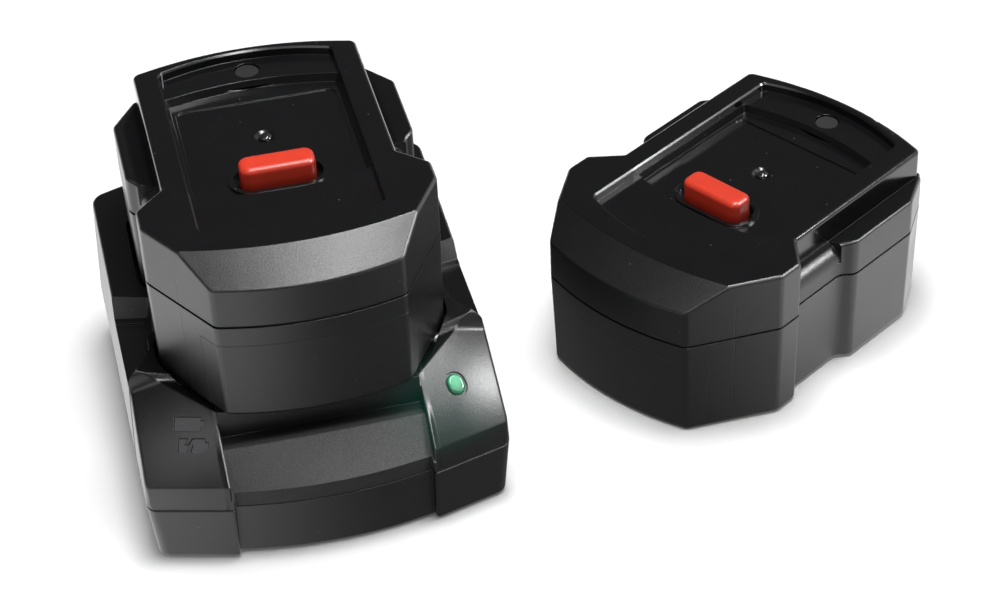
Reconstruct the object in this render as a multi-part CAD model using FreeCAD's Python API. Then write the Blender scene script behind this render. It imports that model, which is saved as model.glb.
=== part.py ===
import FreeCAD, Part
import math
import os

# Battery charger with one seated battery pack and one spare pack beside it.
# Millimetres, +X right, +Y back, +Z up.

V = FreeCAD.Vector

# Clearances and walls
RUN_GAP = 0.4
SEAT_GAP = 0.3
PACK_WALL = 2.0
PACK_FLOOR = 2.2
DOCK_WALL = 2.6
EDGE_MIN = 0.4

# Battery cells: one upright layer
CELL_D = 22.0
CELL_H = 43.0
CELL_PITCH = 22.2
CELL_ROW = 22.5
CELL_FIRST_INNER = 10.4
CELL_FIRST_OUTER = 30.2

# Pack outline, measured from the front corner line backwards
HALF_W = 51.0
FRONT_HALF = 32.5
FRONT_BULGE = 8.4
CHAMFER_Y = 30.9
SHOULDER_Y = 41.0
WAIST_IN = 3.8
WAIST_END_Y = 69.0
EAR_OUT = 0.3
EAR_END_Y = 106.3
RAIL_HALF = 41.0
REAR_HALF = 42.0
REAR_Y = 124.5
REAR_BULGE = 12.2
DRAFT = 0.8
FRONT_DRAFT = 1.5

# Pack heights
SEAL_H = 1.0
SEAM_Z = 39.1
EAR_FOOT_Z = 51.5
EAR_RISE = 3.2
FACET_Z = 54.4
FACET_RUN = 13.7
TOP_Z = 63.0
PANEL_DEPTH = 3.5
FLOOR_DEPTH = 6.5
SKIN = 2.2
RECESS_HALF = 31.7
RECESS_FRONT_Y = 23.4
RECESS_REAR_Y = 121.5
RIM_R = 1.65
BROW_R = 1.4
EAR_R = 1.2
EAR_SHARE = 0.17

# Button
BUTTON_L = 26.4
BUTTON_W = 10.0
BUTTON_Y = 55.5
BUTTON_TOP = 64.4
BUTTON_R = 2.2
BUTTON_STROKE = 2.0
WELL_L = 35.0
WELL_W = 17.5
FLANGE_L = 31.0
FLANGE_W = 13.6
FLANGE_T = 1.2
SPRING_R = 2.3
SPRING_WIRE = 0.4
SPRING_X = 7.0

# Charging contacts
CONTACT_N = 4
CONTACT_PITCH = 9.6
CONTACT_Y = 119.6
BLADE_T = 0.8
BLADE_W = 5.0
BLADE_UP = 7.0
SLOT_T = 2.6
SLOT_W = 7.0
SLOT_DEEP = 10.0
BLOCK_L = 40.0
BLOCK_W = 11.0
BLOCK_H = 13.0

# Pack screws
SCREW_AT = ((27.0, 7.2), (36.0, 117.0))
SCREW_R = 1.35
SCREW_HEAD_R = 2.7
SCREW_HEAD_H = 2.2
BOSS_R = 3.9

# Charger
DOCK_HALF = 64.0
DOCK_FOOT_HALF = 61.9
DOCK_BOTTOM = 1.0
DOCK_SEAM = 23.0
BAND_Z = 32.0
SEAT_Z = 50.0
SHELF_TOP = 57.0
REAR_TOP = 62.6
RISE_Y = 58.0
DOCK_R = 1.2
EDGE_R = 0.8
FACET_SLOPE = 0.72
NOTCH_HALF = 35.3
NOTCH_Y = 4.0
BUMPER_Z = 28.6
BUMPER_TOP = 38.9
FRONT_SLANT = 0.29
BAND_Y = 7.2
DIP_Z = 51.5
GROOVE = 0.35
FOOT_R = 6.0
FOOT_H = 1.8
FOOT_AT = ((47.0, 6.0), (48.0, 122.0))
DOCK_SCREW_AT = ((50.0, 30.0), (50.0, 112.0))

# Light and status windows on the front facets
LENS_L = 7.4
LENS_W = 5.8
LENS_X = 48.0
LENS_Y = 4.3
ICON_X = 45.6
ICON_Y = (6.7, 0.4)

# Electronics and power inlet
BOARD_L = 86.0
BOARD_D = 92.0
BOARD_Y = 62.0
BOARD_Z = 7.5
BOARD_T = 1.6
POST_AT = ((38.0, 24.0), (38.0, 100.0))
INLET_Z = 11.4
INLET_W = 20.0
INLET_H = 13.6
INLET_BACK = 135.0
INLET_DEEP = 13.5
PIN_R = 1.2
PIN_PITCH = 8.6

# Where the spare pack stands beside the charger
SPARE_X = 128.3
SPARE_Y = 41.9
SPARE_TURN = -57.3
TURN_Y = 17.4

# Pieces whose common box centres the set
OUTER_DOCK = ("dock_cover", "dock_base", "dock_feet")
OUTER_PACKS = ("docked_cover", "docked_case", "spare_cover", "spare_case")


def unit(x, y):
    """direction of a plane vector"""
    length = math.hypot(x, y)
    return x / length, y / length


def bow(half_width, y, rise):
    """middle corner whose large radius bows the edge between two mirrored corners"""
    reach = 0.84 * math.hypot(half_width, rise)
    return 0.0, y + rise, reach * half_width / abs(rise)


def close_over(half):
    """adds the mirrored left side to a right-hand half outline"""
    left = [(-x, y, r) for x, y, r in reversed(half[1:-1])]
    return half + left


def inset(points, distance):
    """moves every side of an outline inward, keeping its corners round"""
    moved = []
    for i, (bx, by, r) in enumerate(points):
        ax, ay = points[i - 1][:2]
        cx, cy = points[(i + 1) % len(points)][:2]
        ux, uy = unit(bx - ax, by - ay)
        vx, vy = unit(cx - bx, cy - by)
        scale = distance / (1.0 + ux * vx + uy * vy)
        convex = ux * vy - uy * vx > 0
        radius = r - distance if convex else r + distance
        moved.append((bx - (uy + vy) * scale, by + (ux + vx) * scale, max(radius, EDGE_MIN)))
    return moved


def corner_arc(before, corner, after, z):
    """start, middle and end of the arc that rounds one corner"""
    bx, by, r = corner
    ux, uy = unit(bx - before[0], by - before[1])
    vx, vy = unit(after[0] - bx, after[1] - by)
    half = math.acos(max(-1.0, min(1.0, ux * vx + uy * vy))) / 2
    reach = r * math.tan(half)
    gap = r / math.cos(half) - r
    wx, wy = unit(vx - ux, vy - uy)
    start = V(bx - ux * reach, by - uy * reach, z)
    end = V(bx + vx * reach, by + vy * reach, z)
    return start, V(bx + wx * gap, by + wy * gap, z), end


def round_wire(points, z):
    """closed wire through rounded corners at one height"""
    arcs = []
    for i, corner in enumerate(points):
        arcs.append(corner_arc(points[i - 1], corner, points[(i + 1) % len(points)], z))
    edges = []
    for i, (start, middle, end) in enumerate(arcs):
        edges.append(Part.Arc(start, middle, end).toShape())
        edges.append(Part.makeLine(end, arcs[(i + 1) % len(arcs)][0]))
    return Part.Wire(edges)


def prism(points, z0, z1):
    """straight solid on a rounded outline"""
    return Part.Face(round_wire(points, z0)).extrude(V(0, 0, z1 - z0))


def taper(low, z0, high, z1):
    """solid between two outlines with the same corners"""
    return Part.makeLoft([round_wire(low, z0), round_wire(high, z1)], True, True)


def block(x0, x1, y0, y1, z0, z1):
    """box between two corners"""
    return Part.makeBox(x1 - x0, y1 - y0, z1 - z0, V(x0, y0, z0))


def rod(radius, x, y, z0, z1):
    """upright cylinder"""
    return Part.makeCylinder(radius, z1 - z0, V(x, y, z0))


def oval(length, width, x, y, z0, z1):
    """upright solid with two round ends along X"""
    r = width / 2
    straight = length / 2 - r
    ends = rod(r, x - straight, y, z0, z1).fuse(rod(r, x + straight, y, z0, z1))
    return ends.fuse(block(x - straight, x + straight, y - r, y + r, z0, z1)).removeSplitter()


def plane_cutter(corners, up):
    """solid standing on a plane polygon"""
    wire = Part.makePolygon([V(*c) for c in corners] + [V(*corners[0])])
    return Part.Face(wire).extrude(V(0, 0, up))


def side_profile(points, x0, x1):
    """solid along X from a closed YZ outline"""
    wire = Part.makePolygon([V(x0, y, z) for y, z in points] + [V(x0, *points[0])])
    return Part.Face(wire).extrude(V(x1 - x0, 0, 0))


def front_profile(points, y0, y1):
    """solid along Y from a closed XZ outline"""
    wire = Part.makePolygon([V(x, y0, z) for x, z in points] + [V(points[0][0], y0, points[0][1])])
    return Part.Face(wire).extrude(V(0, y1 - y0, 0))


def both_sides(shape):
    """shape with its mirror image over the middle plane"""
    return shape.fuse(shape.mirror(V(0, 0, 0), V(1, 0, 0)))


def mirrored(points):
    """places on both sides of the middle plane"""
    return [(s * x, y) for x, y in points for s in (-1, 1)]


def edges_where(shape, wanted):
    """edges whose centre and bounding box pass a test"""
    return [e for e in shape.Edges if wanted(e.CenterOfMass, e.BoundBox)]


def arc_front(y_mid, sag, x, z):
    """wire round everything in front of a bowed edge"""
    arc = Part.Arc(V(-x, y_mid + sag, z), V(0, y_mid, z), V(x, y_mid + sag, z)).toShape()
    far = -90.0
    path = Part.makePolygon([V(x, y_mid + sag, z), V(x, far, z), V(-x, far, z), V(-x, y_mid + sag, z)])
    return Part.Wire([arc] + path.Edges)


# Pack outlines

def lower_outline():
    """pack plan at the seam"""
    waist = HALF_W - WAIST_IN
    ear = HALF_W + EAR_OUT
    half = [bow(FRONT_HALF, 0.0, -FRONT_BULGE), (FRONT_HALF, 0.0, 4.0)]
    half += [(HALF_W, CHAMFER_Y, 5.0), (HALF_W, SHOULDER_Y, 2.2)]
    half += [(waist, SHOULDER_Y + WAIST_IN, 1.5), (waist, WAIST_END_Y, 5.0)]
    half += [(ear, WAIST_END_Y + WAIST_IN + EAR_OUT, 5.0), (ear, EAR_END_Y, 5.0)]
    half += [(REAR_HALF, REAR_Y, 4.0), bow(REAR_HALF, REAR_Y, REAR_BULGE)]
    return close_over(half)


def bottom_outline():
    """pack plan at the underside, a little smaller for draft"""
    drawn = inset(lower_outline(), DRAFT)
    slip = FRONT_DRAFT - DRAFT
    return [(x, y + slip if y < CHAMFER_Y / 2 else y, r) for x, y, r in drawn]


def upper_outline():
    """pack plan of the raised frame and shoulders"""
    step = HALF_W - RAIL_HALF
    half = [bow(FRONT_HALF, 0.0, -FRONT_BULGE), (FRONT_HALF, 0.0, 4.0)]
    half += [(HALF_W, CHAMFER_Y, 5.0), (HALF_W, SHOULDER_Y, 2.2)]
    half += [(RAIL_HALF, SHOULDER_Y + step, 1.0), (RAIL_HALF, REAR_Y - 0.2, 3.0)]
    half += [bow(RAIL_HALF, REAR_Y - 0.2, REAR_BULGE)]
    return close_over(half)


def recess_outline():
    """inner edge of the raised frame"""
    half = [bow(RECESS_HALF, RECESS_FRONT_Y, -10.2), (RECESS_HALF, RECESS_FRONT_Y, 2.5)]
    half += [(RECESS_HALF, RECESS_REAR_Y, 2.5), bow(RECESS_HALF, RECESS_REAR_Y, 11.0)]
    return close_over(half)


def floor_outline():
    """deep middle part of the recess"""
    half = [bow(RECESS_HALF, 48.0, -8.0), (RECESS_HALF, 48.0, 1.0)]
    half += [(RECESS_HALF, 109.5, 1.0), bow(RECESS_HALF, 109.5, 7.5)]
    return close_over(half)


def ear_top(outer):
    """removes what is above the sloped ears and the rounded waist"""
    reach = HALF_W + 9.0
    rise = EAR_RISE * (reach - RAIL_HALF) / (HALF_W - RAIL_HALF)
    sky = TOP_Z + 20
    facet = [(RAIL_HALF, EAR_FOOT_Z), (reach, EAR_FOOT_Z + rise), (reach, sky), (RAIL_HALF, sky)]
    outer = outer.cut(both_sides(front_profile(facet, -20.0, REAR_Y + 30)))
    r = HALF_W - WAIST_IN - RAIL_HALF
    zc = EAR_FOOT_Z - r
    corner = block(RAIL_HALF, reach, -20.0, WAIST_END_Y, zc, TOP_Z)
    bead = Part.makeCylinder(r, WAIST_END_Y + 20, V(RAIL_HALF, -20, zc), V(0, 1, 0))
    return outer.cut(both_sides(corner.cut(bead)))


def pack_frame():
    """raised frame and shoulders with the sloped front facet"""
    frame = prism(upper_outline(), SEAM_Z + SEAL_H, TOP_Z)
    step = TOP_Z - FACET_Z
    low_arc = arc_front(-4.97 - FACET_RUN / 2, 17.4, 60.0, FACET_Z - step / 2)
    high_arc = arc_front(8.7 + FACET_RUN / 2, 11.7, 60.0, TOP_Z + step / 2)
    frame = frame.cut(Part.makeLoft([low_arc, high_arc], True, True))
    rim = edges_where(frame, lambda c, b: b.ZMin > TOP_Z - 0.01)
    frame = frame.makeFillet(RIM_R, rim)
    brow = edges_where(frame, lambda c, b: b.ZMin > EAR_FOOT_Z - 1 and b.ZMax < FACET_Z + 2 and c.y < 2)
    return frame.makeFillet(BROW_R, brow)


def is_ear_edge(c, b):
    """top outer edges of the ears"""
    high = EAR_FOOT_Z + 1.5 < b.ZMin and b.ZMax < EAR_FOOT_Z + EAR_RISE + 1
    return high and abs(c.x) > (RAIL_HALF + HALF_W) / 2 and c.y > WAIST_END_Y + 1


def pack_outside():
    """outer form of the pack cover"""
    body = ear_top(prism(lower_outline(), SEAM_Z + SEAL_H, EAR_FOOT_Z + EAR_RISE + 3))
    ears = edges_where(body, is_ear_edge)
    body = body.makeFillet(min(EAR_R, EAR_SHARE * (HALF_W - RAIL_HALF)), ears)
    body = body.cut(block(-RAIL_HALF, RAIL_HALF, -30, REAR_Y + 30, EAR_FOOT_Z, TOP_Z + 1))
    return body.fuse(pack_frame()).removeSplitter()


def button_well(cover):
    """cup in the recess floor that the button slides through"""
    floor = TOP_Z - FLOOR_DEPTH
    base = floor - 4.5
    cover = cover.fuse(oval(WELL_L, WELL_W, 0, BUTTON_Y, base, floor + 0.9))
    cover = cover.cut(oval(WELL_L - 3.4, WELL_W - 3.4, 0, BUTTON_Y, base + 2.0, floor + 3))
    return cover.cut(slot_for_button(base - 1, floor))


def slot_for_button(z0, z1):
    """hole with running clearance round the button"""
    length = BUTTON_L + 2 * RUN_GAP
    width = BUTTON_W + 2 * RUN_GAP
    return round_block(length, width, 3.4 + RUN_GAP, 0, BUTTON_Y, z0, z1)


def round_block(length, width, radius, x, y, z0, z1):
    """upright block with round corners"""
    a = length / 2
    b = width / 2
    corners = [(x - a, y - b, radius), (x + a, y - b, radius), (x + a, y + b, radius), (x - a, y + b, radius)]
    return prism(corners, z0, z1)


def recess(cover):
    """stepped recess inside the raised frame"""
    panel = TOP_Z - PANEL_DEPTH
    floor = TOP_Z - FLOOR_DEPTH
    rim = recess_outline()
    cover = cover.cut(prism(rim, panel, TOP_Z + 1))
    cover = cover.cut(taper(rim, TOP_Z - 0.7, inset(rim, -0.9), TOP_Z + 0.2))
    deep = floor_outline()
    cover = cover.cut(taper(inset(deep, 1.4), floor, inset(deep, 0.05), panel + 0.01))
    label = round_block(58.0, 37.0, 3.0, 0, 86.0, floor - 0.5, floor + 0.01)
    return cover.cut(label)


def cover_inside():
    """hollow of the pack cover"""
    low = SEAM_Z + SEAL_H
    hollow = prism(inset(lower_outline(), PACK_WALL), low - 1, EAR_FOOT_Z - 3.3)
    middle = TOP_Z - FLOOR_DEPTH - SKIN
    panel = TOP_Z - PANEL_DEPTH - SKIN
    hollow = hollow.fuse(block(-29.5, 29.5, 47.0, 107.5, low, middle))
    hollow = hollow.fuse(block(-29.5, 29.5, 22.0, 44.6, low, panel))
    hollow = hollow.fuse(block(-29.5, 29.5, 112.5, 121.0, low, panel))
    return hollow.fuse(both_sides(block(34.2, 38.6, 52.0, 120.0, low, TOP_Z - 2.4)))


def cover_bosses(cover):
    """screw bosses under the pack cover"""
    for x, y in mirrored(SCREW_AT):
        cover = cover.fuse(rod(BOSS_R, x, y, SEAM_Z + SEAL_H + 0.2, EAR_FOOT_Z - 2))
    for x, y in mirrored(SCREW_AT):
        cover = cover.cut(rod(SCREW_R, x, y, SEAM_Z, EAR_FOOT_Z + 0.5))
    return cover


def pack_cover():
    """upper shell of the pack"""
    cover = recess(pack_outside()).cut(cover_inside())
    cover = button_well(cover)
    floor = TOP_Z - FLOOR_DEPTH
    dish = Part.makeCone(2.4, 4.4, 1.3, V(0, 82, floor - 0.5 - 1.0))
    cover = cover.cut(dish).cut(rod(1.6, 0, 82, floor - SKIN - 1, floor))
    panel = TOP_Z - PANEL_DEPTH
    cover = cover.cut(rod(4.7, 0, 120.5, panel - 1.2, panel + 1))
    return cover_bosses(cover).removeSplitter()


def pack_case():
    """lower shell of the pack"""
    body = taper(bottom_outline(), 0.0, lower_outline(), SEAM_Z)
    foot = edges_where(body, lambda c, b: b.ZMax < 0.01)
    body = body.makeFillet(2.0, foot)
    low = inset(bottom_outline(), PACK_WALL)
    high = inset(lower_outline(), PACK_WALL)
    body = body.cut(taper(low, PACK_FLOOR, high, SEAM_Z + 0.01))
    for x, y in mirrored(SCREW_AT):
        body = body.fuse(rod(BOSS_R, x, y, 0.5, SEAM_Z))
    for x, y in mirrored(SCREW_AT):
        body = body.cut(rod(SCREW_R + RUN_GAP, x, y, 0, SEAM_Z + 1))
        body = body.cut(rod(SCREW_HEAD_R + RUN_GAP, x, y, -1, 3.0))
    half_l = BLOCK_L / 2 + SEAT_GAP
    half_w = BLOCK_W / 2 + SEAT_GAP
    return body.cut(block(-half_l, half_l, CONTACT_Y - half_w, CONTACT_Y + half_w, -1, PACK_FLOOR + 1))


def pack_seal():
    """ring in the groove between the shells"""
    outer = prism(inset(lower_outline(), 0.7), SEAM_Z, SEAM_Z + SEAL_H)
    return outer.cut(prism(inset(lower_outline(), PACK_WALL), SEAM_Z - 1, SEAM_Z + SEAL_H + 1))


def cell_places():
    """centres of the upright cells, five in each inner column and four in each outer one"""
    inner = [(CELL_PITCH / 2, CELL_FIRST_INNER + i * CELL_ROW) for i in range(5)]
    outer = [(1.5 * CELL_PITCH, CELL_FIRST_OUTER + i * CELL_ROW) for i in range(4)]
    return mirrored(inner + outer)


def one_cell(x, y):
    """sleeved cell with a raised pole and a shoulder groove"""
    top = PACK_FLOOR + CELL_H
    can = rod(CELL_D / 2, x, y, PACK_FLOOR, top - 0.8)
    can = can.cut(rod(CELL_D / 2 + 1, x, y, top - 4.6, top - 3.8).cut(rod(CELL_D / 2 - 0.6, x, y, 0, top)))
    return can.fuse(rod(5.0, x, y, top - 0.8, top)).removeSplitter()


def pack_cells():
    """all cells of the pack"""
    return Part.makeCompound([one_cell(x, y) for x, y in cell_places()])


def cell_links():
    """strips welded from pole to pole"""
    top = PACK_FLOOR + CELL_H
    strips = []
    for side in (-1, 1):
        for column, first, count in ((0.5, CELL_FIRST_INNER, 5), (1.5, CELL_FIRST_OUTER, 4)):
            x = side * column * CELL_PITCH
            for i in range(0, count - 1, 2):
                y = first + i * CELL_ROW
                strips.append(round_block(7.0, CELL_ROW + 8.0, 1.5, x, y + CELL_ROW / 2, top, top + 0.3))
    return Part.makeCompound(strips)


def cell_tray(z0, z1):
    """plate with a round socket for every cell"""
    plate = prism(inset(bottom_outline(), PACK_WALL + SEAT_GAP), z0, z1)
    for x, y in cell_places():
        plate = plate.cut(rod(CELL_D / 2 + 0.05, x, y, z0 - 1, z1 + 1))
    for x, y in mirrored(SCREW_AT):
        plate = plate.cut(rod(BOSS_R + SEAT_GAP, x, y, z0 - 1, z1 + 1))
    return plate.cut(block(-25, 25, 112.4, 140, z0 - 1, z1 + 1))


def solid_only(shape):
    """largest solid of a shape"""
    return max(shape.Solids, key=lambda s: s.Volume)


def contact_places():
    """X of every charging contact"""
    start = -(CONTACT_N - 1) / 2 * CONTACT_PITCH
    return [start + i * CONTACT_PITCH for i in range(CONTACT_N)]


def pack_contact_block():
    """slotted socket in the underside"""
    y = CONTACT_Y
    body = round_block(BLOCK_L, BLOCK_W, 0.8, 0, y, SEAT_GAP, BLOCK_H)
    body = body.fuse(block(-23, 23, y - 6.5, y + 6.5, PACK_FLOOR, PACK_FLOOR + 1.5))
    for x in contact_places():
        body = body.cut(block(x - SLOT_T / 2, x + SLOT_T / 2, y - SLOT_W / 2, y + SLOT_W / 2, 0, SLOT_DEEP))
        body = body.cut(rod(0.65, x, y, SLOT_DEEP - 1, BLOCK_H + 1))
    return body.removeSplitter()


def pack_contact_forks():
    """two-leaf spring clips inside the slots"""
    y = CONTACT_Y
    inner = BLADE_T / 2 + SEAT_GAP
    outer = inner + 0.35
    forks = []
    for x in contact_places():
        clip = block(x - outer, x + outer, y - 2.6, y + 2.6, 3.0, SLOT_DEEP)
        clip = clip.cut(block(x - inner, x + inner, y - 4, y + 4, 2.0, SLOT_DEEP - 0.4))
        forks.append(clip.fuse(rod(0.6, x, y, SLOT_DEEP - 0.2, BLOCK_H + 3.4)).removeSplitter())
    return Part.makeCompound(forks)


def pack_board():
    """protection board over the socket"""
    z = BLOCK_H + 0.4
    board = round_block(47.0, 14.0, 1.0, 0, CONTACT_Y, z, z + 1.6)
    for x in contact_places():
        board = board.cut(rod(0.65, x, CONTACT_Y, z - 1, z + 2))
    parts = [block(-21, -13, CONTACT_Y + 2, CONTACT_Y + 6, z + 1.6, z + 3.0)]
    parts.append(block(-3, 5, CONTACT_Y + 2.5, CONTACT_Y + 6, z + 1.6, z + 2.8))
    parts.append(rod(2.0, 17.0, CONTACT_Y + 4.2, z + 1.6, z + 8.0))
    for part in parts:
        board = board.fuse(part)
    posts = [rod(1.6, s * 22.0, CONTACT_Y - 4.5, PACK_FLOOR + 1.5, z) for s in (-1, 1)]
    return board.fuse(posts[0]).fuse(posts[1]).removeSplitter()


def button():
    """oblong push button with a flange that stays under the cup"""
    top = TOP_Z - FLOOR_DEPTH - 4.5 - SEAT_GAP
    body = round_block(BUTTON_L, BUTTON_W, 3.4, 0, BUTTON_Y, top - FLANGE_T, BUTTON_TOP)
    body = body.makeFillet(BUTTON_R, edges_where(body, lambda c, b: b.ZMin > BUTTON_TOP - 0.01))
    body = body.fuse(round_block(FLANGE_L, FLANGE_W, 4.0, 0, BUTTON_Y, top - FLANGE_T, top))
    for side in (-1, 1):
        body = body.cut(rod(SPRING_R + 0.8, side * SPRING_X, BUTTON_Y, 0, spring_top()))
    return body.removeSplitter()


def spring_foot():
    """height of the plate the springs stand on"""
    return EAR_FOOT_Z - 3.3


def spring_top():
    """height of the pocket ends inside the button"""
    return spring_foot() + 11.0


def button_springs():
    """two return coils"""
    low = spring_foot() + SPRING_WIRE
    high = spring_top() - SPRING_WIRE
    coils = []
    for side in (-1, 1):
        path = Part.makeHelix((high - low) / 5, high - low, SPRING_R)
        start = path.Edges[0].valueAt(path.Edges[0].FirstParameter)
        ring = Part.Wire(Part.makeCircle(SPRING_WIRE, start, V(0, 1, 0)))
        coil = Part.Wire(path.Edges).makePipeShell([ring], True, True)
        coils.append(coil.translated(V(side * SPRING_X, BUTTON_Y, low)))
    return Part.makeCompound(coils)


def button_plate():
    """plate that closes the button space from below"""
    top = spring_foot()
    plate = round_block(66.0, 56.0, 3.0, 0, 77.0, top - 1.2, top)
    for side in (-1, 1):
        plate = plate.fuse(rod(SPRING_R - SPRING_WIRE - 0.3, side * SPRING_X, BUTTON_Y, top - 0.5, top + 2.0))
    return plate.removeSplitter()


def vent_dome():
    """glossy valve cap in its dish"""
    floor = TOP_Z - FLOOR_DEPTH - 1.5
    dome = Part.makeSphere(3.0, V(0, 82, floor - 1.1))
    dome = dome.common(rod(2.3, 0, 82, floor, floor + 4))
    return dome.fuse(rod(1.5, 0, 82, floor - 2.4, floor + 0.2)).removeSplitter()


def rear_plug():
    """round cap in the rear shelf"""
    top = TOP_Z - PANEL_DEPTH - 1.2
    cap = rod(4.4, 0, 120.5, top, top + 0.7)
    return cap.makeChamfer(0.25, edges_where(cap, lambda c, b: b.ZMin > top + 0.6))


def pack_screws():
    """screws that join the shells from below"""
    screws = []
    for x, y in mirrored(SCREW_AT):
        head = rod(SCREW_HEAD_R, x, y, 3.0 - SCREW_HEAD_H, 3.0)
        drive = block(x - 0.5, x + 0.5, y - 1.8, y + 1.8, 0, 1.9)
        cross = block(x - 1.8, x + 1.8, y - 0.5, y + 0.5, 0, 1.9)
        screw = head.cut(drive).cut(cross).fuse(rod(SCREW_R - 0.05, x, y, 2.9, EAR_FOOT_Z))
        screws.append(screw.removeSplitter())
    return Part.makeCompound(screws)


def pack_parts():
    """every piece of one pack by name"""
    return {
        "cover": pack_cover(),
        "case": pack_case(),
        "seal": pack_seal(),
        "cells": pack_cells(),
        "cell_links": cell_links(),
        "cell_tray": solid_only(cell_tray(PACK_FLOOR, PACK_FLOOR + 6)),
        "cell_frame": solid_only(cell_tray(SEAM_Z - 6, SEAM_Z - 2)),
        "contact_socket": pack_contact_block(),
        "contact_forks": pack_contact_forks(),
        "circuit_board": pack_board(),
        "button": button(),
        "button_springs": button_springs(),
        "button_plate": button_plate(),
        "vent_dome": vent_dome(),
        "rear_plug": rear_plug(),
        "screws": pack_screws(),
    }


# Charger outlines

def dock_outline(half, bumper, outer, rear):
    """charger plan: bowed bumper between two slanted front blocks, bowed rear"""
    inner = outer - FRONT_SLANT * (half - NOTCH_HALF)
    right = [bow(NOTCH_HALF - 0.8, bumper, -7.0), (NOTCH_HALF - 0.8, bumper, EDGE_MIN)]
    right += [(NOTCH_HALF - 0.4, inner, 1.0), (half, outer, 5.0)]
    right += [(half, rear, 6.0), bow(half, rear, 20.0)]
    return close_over(right)


def dock_foot_outline():
    """charger plan at the underside"""
    return dock_outline(DOCK_FOOT_HALF, -12.6, -7.6, 123.6)


def dock_seam_outline():
    """charger plan at the seam, its widest level"""
    return dock_outline(DOCK_HALF, -14.0, -8.4, 126.0)


def dock_top_outline():
    """charger plan at the top"""
    return dock_outline(DOCK_HALF - 2.0, -14.0, -8.4, 125.2)


def facet_height(x, y):
    """height of the sloped front facet over a point on the right block"""
    return BAND_Z + FACET_SLOPE * (y + BAND_Y + FRONT_SLANT * (62.5 - x))


def bevel_height(x, y):
    """height of the bevel that leads in to the pack's front corner"""
    return 47.9 + 0.307 * (x - NOTCH_HALF) + 0.092 * (y - 6.9)


def top_height(y):
    """height of the charger top beside the pack"""
    return SHELF_TOP + max(0.0, y - RISE_Y) * (REAR_TOP - SHELF_TOP) / (125.0 - RISE_Y)


def facet_cutters(drop):
    """what is cut away above facets, bevels and top, moved down by a distance"""
    def corner(height, x, y):
        return x, y, height(x, y) - drop
    inner = NOTCH_HALF - 0.01
    facet = [corner(facet_height, x, y) for x, y in ((inner, -60), (90, -60), (90, 80), (inner, 80))]
    bevel = [corner(bevel_height, x, y) for x, y in ((inner, -30), (90, -30), (90, 60), (inner, 60))]
    front, back, sky = -60.0, 180.0, 140.0
    top = [(front, SHELF_TOP - drop), (RISE_Y, SHELF_TOP - drop), (back, top_height(back) - drop)]
    top += [(back, sky), (front, sky)]
    cutters = both_sides(plane_cutter(facet, 120)).fuse(both_sides(plane_cutter(bevel, 120)))
    return cutters.fuse(side_profile(top, -90.0, 90.0))


def band_cutter():
    """leans the low front band of the blocks back a little"""
    lean = 1.3
    high = BAND_Z * 2 - DOCK_SEAM
    points = [(-40.0, DOCK_SEAM), (-lean, DOCK_SEAM), (lean, high), (-40.0, high)]
    half = side_profile(points, -90.0, 90.0)
    half.rotate(V(0, 0, 0), V(0, 0, 1), math.degrees(math.atan(FRONT_SLANT)))
    half.translate(V(62.5, -BAND_Y, 0))
    return half.common(block(NOTCH_HALF - 1.0, 90, -60, 60, 0, 90))


def well_outline(gap):
    """pack plan with a gap all round"""
    return inset(lower_outline(), -gap)


def notch_cutter(drop):
    """open front between the blocks over the bumper, moved down by a distance"""
    reach = NOTCH_HALF + drop
    low_arc = arc_front(-23.6 + drop, 19.1, 60.0, BUMPER_Z - 3.0 - drop)
    high_arc = arc_front(1.4 + drop, -3.1, 60.0, BUMPER_TOP + 3.0 - drop)
    wedge = Part.makeLoft([low_arc, high_arc], True, True)
    shelf = block(-reach, reach, -60, NOTCH_Y + drop, BUMPER_TOP - drop, 120)
    cut = wedge.fuse(shelf).common(block(-reach, reach, -60, NOTCH_Y + drop, BUMPER_Z - drop - 2, 120))
    return cut.removeSplitter()


def dip_cutter():
    """finger recess outside the pack's waist"""
    waist = HALF_W - WAIST_IN
    low = [(75.0, 14.0), (58.6, 27.6), (53.6, 37.4), (53.6, 43.4)]
    low += [(waist + 4.0, 46.5), (waist + 4.0, 61.5), (75.0, 66.5)]
    high = [(75.0, 14.0), (58.4, 27.6), (53.0, 37.6), (53.0, 44.4)]
    high += [(waist + 1.9, 48.0), (waist + 1.9, 64.6), (75.0, 72.5)]
    low_wire = round_wire([(x, y, 1.0) for x, y in low], DIP_Z)
    high_wire = round_wire([(x, y, 1.0) for x, y in high], SHELF_TOP + 0.6)
    cut = Part.makeLoft([low_wire, high_wire], True, True)
    cut = cut.fuse(prism([(x, y, 1.0) for x, y in high], SHELF_TOP + 0.6, REAR_TOP))
    panel = [(75.0, 8.0), (60.8, 28.6), (54.9, 39.0), (54.9, 45.4)]
    panel += [(waist + 5.2, 48.4), (waist + 5.2, 58.6), (75.0, 63.4)]
    cut = cut.fuse(prism([(x, y, 1.0) for x, y in panel], DIP_Z - 0.8, DIP_Z + 1.0))
    return both_sides(cut)


def is_dock_edge(c, b):
    """outer edges of the charger top that are rounded"""
    side = abs(c.x)
    top = b.ZMin > SHELF_TOP - 0.1 and (c.y > RISE_Y + 60 or side > DOCK_HALF - 2.5 and c.y > RISE_Y)
    band = side > NOTCH_HALF + 5 and BAND_Z - 1 < b.ZMin and b.ZMax < BAND_Z + 1
    flank = side > DOCK_HALF - 2.5 and BAND_Z - 1 < b.ZMin and b.YMax < 30 and b.YLength > 5
    ridge = NOTCH_HALF + 1 < side < DOCK_HALF - 4 and b.ZMin > 45 and c.y < 30
    crest = side < 1 and abs(b.ZMin - BUMPER_TOP) < 0.05 and b.ZLength < 0.1 and c.y < NOTCH_Y - 1
    return top or band or flank or ridge or crest


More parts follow.
